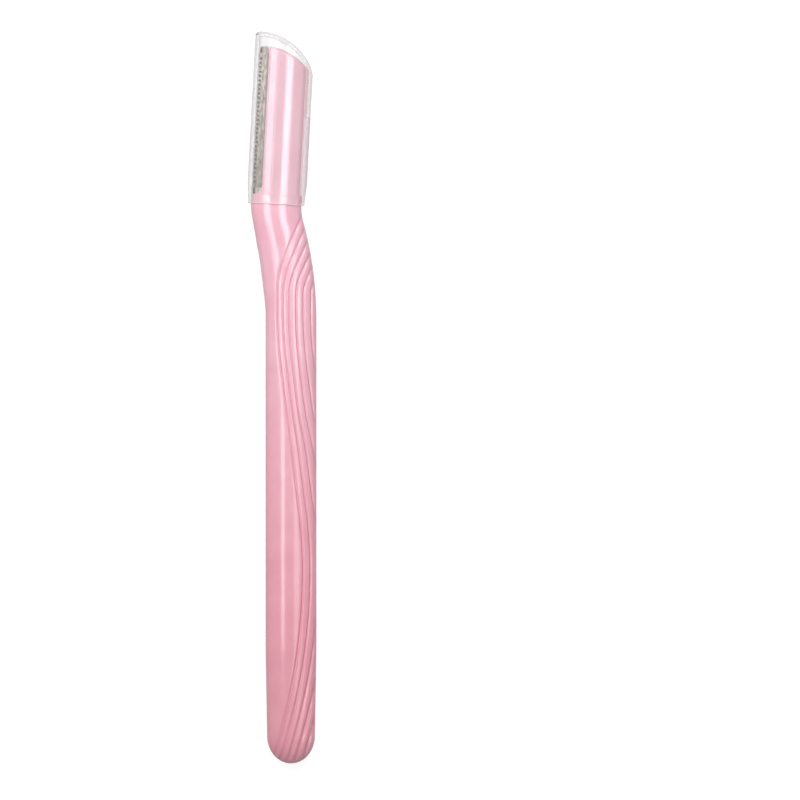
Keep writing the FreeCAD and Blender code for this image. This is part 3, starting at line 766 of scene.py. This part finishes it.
def build_head():
    """Leaning head: bevelled lip, crowned faces and a top that falls to the back."""
    heights = [COLLAR_LENGTH - HEAD_ROOT, COLLAR_LENGTH - HEAD_ROOT_TOP]
    heights += list(np.linspace(COLLAR_LENGTH, WINDOW_TOP, WINDOW_RINGS))
    heights += list(np.linspace(WINDOW_TOP, HEAD_TOP, HEAD_RINGS)[1:])
    section = head_section(HEAD_FRONT + HEAD_LIP_LEAST)
    rings = roofed_rings(section, heights, head_roof, HEAD_EDGE, HEAD_TOP_MIDDLE, webbed)
    vertices, faces = closed_tube(head_frame(rings))
    piece = add_piece("handle_head", in_frame(vertices), faces, PLASTIC, "razor")
    mark_points(piece, "satin", (rings[..., 0].ravel() < -HEAD_RIDGE).astype(float))


def build_slot_floor():
    """Floor of the blade's slot, which reaches out below the lip to the blade."""
    outer = -HEAD_FRONT - SLOT_REACH
    inner = -HEAD_FRONT + SLOT_SEAT
    across = np.array([outer, outer, inner, inner])
    up = np.array([SLOT_DEEP, -SLOT_DEEP, -SLOT_DEEP, SLOT_DEEP])
    rings = [in_head(across, np.full(len(across), along), up) for along in (SLOT_FOOT, SLOT_TOP)]
    vertices, faces = closed_tube(np.array(rings))
    add_piece("slot_floor", in_frame(vertices), faces, PLASTIC, "razor")


# Blade and skin guard


def guard_profile():
    """Outline of the folded foil, from the end of one leg round the fold to the end of the other."""
    fold_at = GUARD_EDGE - GUARD_FOIL / 2 - GUARD_FOLD
    slot_end = GUARD_EDGE - GUARD_SLOT_DEPTH
    leg = [(-reach, GUARD_FOLD) for reach in np.linspace(GUARD_REACH, slot_end, LEG_POINTS)]
    leg += [(-reach, GUARD_FOLD) for reach in np.linspace(slot_end, fold_at, SLOT_POINTS)[1:]]
    fold = []
    for turn in np.linspace(math.pi / 2, 3 * math.pi / 2, FOLD_POINTS)[1:-1]:
        fold.append((-fold_at + GUARD_FOLD * math.cos(turn), GUARD_FOLD * math.sin(turn)))
    return np.array(leg + fold + [(across, -up) for across, up in reversed(leg)])


def guard_stops():
    """Distances along the foil of its rows of points, and whether a slot follows each row."""
    count = int((GUARD_LENGTH - GUARD_PITCH) / GUARD_PITCH)
    start = (GUARD_LENGTH - (count - 1) * GUARD_PITCH) / 2
    stops = [0.0]
    slotted = []
    for k in range(count):
        middle = start + k * GUARD_PITCH
        stops += [middle - GUARD_SLOT / 2, middle, middle + GUARD_SLOT / 2]
        slotted += [False, True, True]
    return stops + [GUARD_LENGTH], slotted + [False]


def build_guard():
    """Foil folded over the edge, with a row of slots across the fold."""
    profile = guard_profile()
    across = profile[:, 0]
    columns = len(profile)
    slot_first = LEG_POINTS - 1
    slot_last = columns - LEG_POINTS
    stops, slotted = guard_stops()
    beside_lip = GUARD_LIP_SHADE * ease((HEAD_FRONT + GUARD_LIP_REACH + across) / GUARD_LIP_REACH * 2)
    rings = []
    shades = []
    for stop in stops:
        rings.append(in_head(across, np.full(columns, GUARD_FOOT + stop), profile[:, 1]))
        shades += list(np.maximum(beside_lip, GUARD_FOOT_SHADE * (1 - stop / GUARD_LENGTH)))
    faces = []
    for r, open_here in enumerate(slotted):
        for c in range(columns - 1):
            if open_here and slot_first <= c < slot_last:
                continue
            here = r * columns + c
            faces.append((here, here + 1, here + columns + 1, here + columns))
    vertices = np.array(rings).reshape(-1, 3)
    piece = add_piece("guard_foil", in_frame(vertices), faces, GUARD_STEEL, "razor")
    mark_points(piece, "shade", shades)
    thicken = piece.modifiers.new("foil", "SOLIDIFY")
    thicken.thickness = GUARD_FOIL * MM
    thicken.offset = 0
    solid = piece.evaluated_get(bpy.context.evaluated_depsgraph_get())
    piece.data = bpy.data.meshes.new_from_object(solid)
    piece.data.set_sharp_from_angle(angle=SHARP)
    piece.modifiers.clear()
    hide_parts("skin_guard")


def dress_blade():
    """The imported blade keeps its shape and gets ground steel."""
    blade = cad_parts["blade"]
    blade.data.materials.clear()
    blade.data.materials.append(BLADE_STEEL)


# Cap


def roof_over(half, top, radius):
    """Height of the cap's slanted roof over each place across, outside or inside."""
    reach = half + CAP_ROOF_MARGIN

    def roof(across):
        return arc_height(across, (reach, CAP_TOP - CAP_FALL), (-reach, top), radius)

    return roof


def ribbed(section, height):
    """Outline of the cavity at a height, with the rib on its back wall."""
    inside = ease((RIB_HALF - np.abs(section[:, 1])) / RIB_EASE + 0.5) * (section[:, 0] > 0)
    inside *= ease((height - RIB_FOOT) / RIB_EASE) * ease((RIB_TOP - height) / RIB_EASE)
    points = section.copy()
    points[:, 0] += (RIB_FACE - points[:, 0]) * inside
    return points


def rim_rings(section, inward, start, turns):
    """Rings round a corner of the rim, each moved into the wall."""
    rings = []
    for turn in turns:
        inset = start + RIM_EDGE * (1 - math.cos(turn))
        height = np.full((len(section), 1), RIM_EDGE * (1 - math.sin(turn)))
        rings.append(np.hstack([section + inward * inset, height]))
    return rings


def build_cap():
    """Clear sleeve with a rounded slanted roof, open at the rim, and a rib inside its back wall."""
    outer_section, outer_normal = oval(CAP_HALF, CAP_DEEP, CAP_AROUND)
    inner_section, inner_normal = oval(CAVITY_HALF, CAVITY_DEEP, CAP_AROUND)

    def thinned(section, height):
        thinning = RIM_THINNING * ease(1 - height / RIM_THINNING_REACH)
        return section - outer_normal * thinning[:, None]

    outer_heights = np.linspace(RIM_EDGE, CAP_TOP, CAP_RINGS)
    inner_heights = np.concatenate([
        np.linspace(RIM_EDGE, RIB_FOOT - RIB_EASE, RIB_END_RINGS),
        np.linspace(RIB_FOOT, RIB_FOOT + RIB_EASE, RIB_END_RINGS),
        np.linspace(RIB_FOOT + 2 * RIB_EASE, RIB_TOP - 2 * RIB_EASE, RIB_RINGS),
        np.linspace(RIB_TOP - RIB_EASE, RIB_TOP, RIB_END_RINGS),
        np.linspace(RIB_TOP + RIB_EASE, CAP_TOP, CAVITY_RINGS),
    ])
    outer_roof = roof_over(CAP_HALF, CAP_TOP, CAP_ROOF_RADIUS)
    inner_roof = roof_over(CAVITY_HALF, CAP_TOP - CAP_ROOF_WALL, CAP_ROOF_RADIUS - CAP_ROOF_WALL)
    outer = roofed_rings(outer_section, outer_heights, outer_roof, CAP_EDGE, CAP_ROOF_MIDDLE, thinned)
    inner = roofed_rings(inner_section, inner_heights, inner_roof, CAVITY_EDGE, CAP_ROOF_MIDDLE, ribbed)
    rim = rim_rings(outer_section, -outer_normal, RIM_THINNING, CORNER_TURNS[1:])
    rim += rim_rings(inner_section, inner_normal, 0, CORNER_TURNS[:0:-1])
    rings = np.concatenate([outer[::-1], np.array(rim), inner])
    vertices, faces = closed_tube(head_frame(rings))
    piece = add_piece("clear_cap", in_frame(vertices), faces, CLEAR, "cap", CAP_SHARP)
    # Painted reflection of the pink head, marked on the outer wall past the head's back
    past_head = outer[::-1, :, 0].ravel() - HEAD_BACK
    loss = PINK_REFLECTION_LOSS * ease((past_head - PINK_REFLECTION_HOLD) / PINK_REFLECTION_REACH)
    mark_points(piece, "painted_reflection", ease((past_head + PINK_REFLECTION_EARLY) / PINK_REFLECTION_RISE) * (1 - loss))
    piece.data.materials.append(FROSTED)
    rim_first = (len(outer) - 1) * CAP_AROUND
    for polygon in piece.data.polygons[rim_first:rim_first + len(rim) * CAP_AROUND]:
        polygon.material_index = 1
    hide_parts("cap")


build_handle()
build_head()
build_slot_floor()
build_guard()
dress_blade()
build_cap()


# Place of the razor in the picture, in pixels and millimetres
PHOTO_PIXELS = 800
MM_PER_PIXEL = 0.20492
AXIS_PIXEL = 291.0
BUTT_PIXEL = 763.5

# Camera, lamps and table, in metres, with the camera's sensor in millimetres
CAMERA_HEIGHT = 1.2
SENSOR_WIDTH = 36
LAMP_HEIGHT = 0.28
STRIP_FOOT = 0.01
STRIP_TOP = 0.3
TABLE_HALF = 3.0
TABLE_DROP = 0.02 * MM

# Strength of the table as it is seen and as it lights the razor, and the same for the world
TABLE_SEEN = 0.88
TABLE_BOUNCE = 0.36
WORLD_SEEN = 1.0
WORLD_MIRRORED = 0.7
WORLD_FILL = 0.12


def white_table():
    """White table that stays white in the picture and keeps the object's soft shadow."""
    material, tree, shader = new_material("white_table")
    tree.nodes.remove(shader)
    rays = add_node(tree, "LightPath", {}).outputs
    seen = add_math(tree, "MAXIMUM", rays["Is Camera Ray"], rays["Is Glossy Ray"])
    shown = add_math(tree, "MAXIMUM", seen, rays["Is Transmission Ray"])
    level = add_math(tree, "MULTIPLY_ADD", shown, TABLE_SEEN - TABLE_BOUNCE, TABLE_BOUNCE)
    glow = add_node(tree, "Emission", {"Strength": level}).outputs["Emission"]
    matt = add_node(tree, "BsdfDiffuse", {"Color": TABLE_GREY}).outputs["BSDF"]
    both = add_node(tree, "AddShader", {0: glow, 1: matt}).outputs["Shader"]
    feed(tree, tree.nodes["Material Output"], {"Surface": both})
    return material


def build_table():
    """Floor under the cap."""
    half = TABLE_HALF
    corners = [(-half, -half, 0), (half, -half, 0), (half, half, 0), (-half, half, 0)]
    mesh = bpy.data.meshes.new("table")
    mesh.from_pydata(corners, [], [(0, 1, 2, 3)])
    mesh.materials.append(white_table())
    table = bpy.data.objects.new("table", mesh)
    table.location.z = -TABLE_DROP
    bpy.context.scene.collection.objects.link(table)


def strip_light(name, near, far, foot, top, strength):
    """Long softbox along the handle, seen from it between two angles off the vertical."""
    lean = math.radians((near + far) / 2)
    distance = LAMP_HEIGHT / math.cos(lean)
    lamp = bpy.data.lights.new(name, "AREA")
    lamp.shape = "RECTANGLE"
    lamp.size = 2 * distance * math.tan(math.radians(abs(far - near)) / 2)
    lamp.size_y = top - foot
    lamp.energy = strength * lamp.size * lamp.size_y
    holder = bpy.data.objects.new(name, lamp)
    holder.location = (LAMP_HEIGHT * math.tan(lean), (foot + top) / 2, LAMP_HEIGHT)
    holder.rotation_euler = (0, lean, 0)
    bpy.context.scene.collection.objects.link(holder)


def light_world():
    """Soft fill that shows as white to the camera, to reflections and through the cap."""
    world = bpy.data.worlds.new("studio")
    world.use_nodes = True
    tree = world.node_tree
    rays = add_node(tree, "LightPath", {}).outputs
    level = add_range(tree, rays["Is Glossy Ray"], (WORLD_FILL, WORLD_MIRRORED))
    level = add_range(tree, rays["Is Transmission Ray"], (level, WORLD_MIRRORED))
    level = add_range(tree, rays["Is Camera Ray"], (level, WORLD_SEEN))
    feed(tree, tree.nodes["Background"], {"Color": WORLD_WHITE, "Strength": level})
    bpy.context.scene.world = world


def place_camera():
    """Straight above the picture's middle, as far off as makes a pixel its size on the razor."""
    middle = PHOTO_PIXELS / 2
    x = AXIS_X + (middle - AXIS_PIXEL) * MM_PER_PIXEL
    y = BUTT_Y + (BUTT_PIXEL - middle) * MM_PER_PIXEL
    camera = bpy.data.cameras.new("camera")
    camera.sensor_width = SENSOR_WIDTH
    distance = CAMERA_HEIGHT - MIDDLE_Z * MM
    camera.lens = camera.sensor_width * distance / (PHOTO_PIXELS * MM_PER_PIXEL * MM)
    holder = bpy.data.objects.new("camera", camera)
    holder.location = (x * MM, y * MM, CAMERA_HEIGHT)
    bpy.context.scene.collection.objects.link(holder)
    bpy.context.scene.camera = holder


build_table()
strip_light("left_strip", near=-17.5, far=-36.0, foot=STRIP_FOOT, top=STRIP_TOP, strength=24.0)
strip_light("left_low_strip", near=-17.5, far=-27.0, foot=-0.065, top=STRIP_FOOT, strength=20.0)
strip_light("right_strip", near=8.5, far=25.0, foot=STRIP_FOOT, top=STRIP_TOP, strength=27.0)
strip_light("right_low_strip", near=8.5, far=25.0, foot=-0.1, top=STRIP_FOOT, strength=10.0)
light_world()
place_camera()
bpy.context.scene.view_settings.view_transform = "Standard"
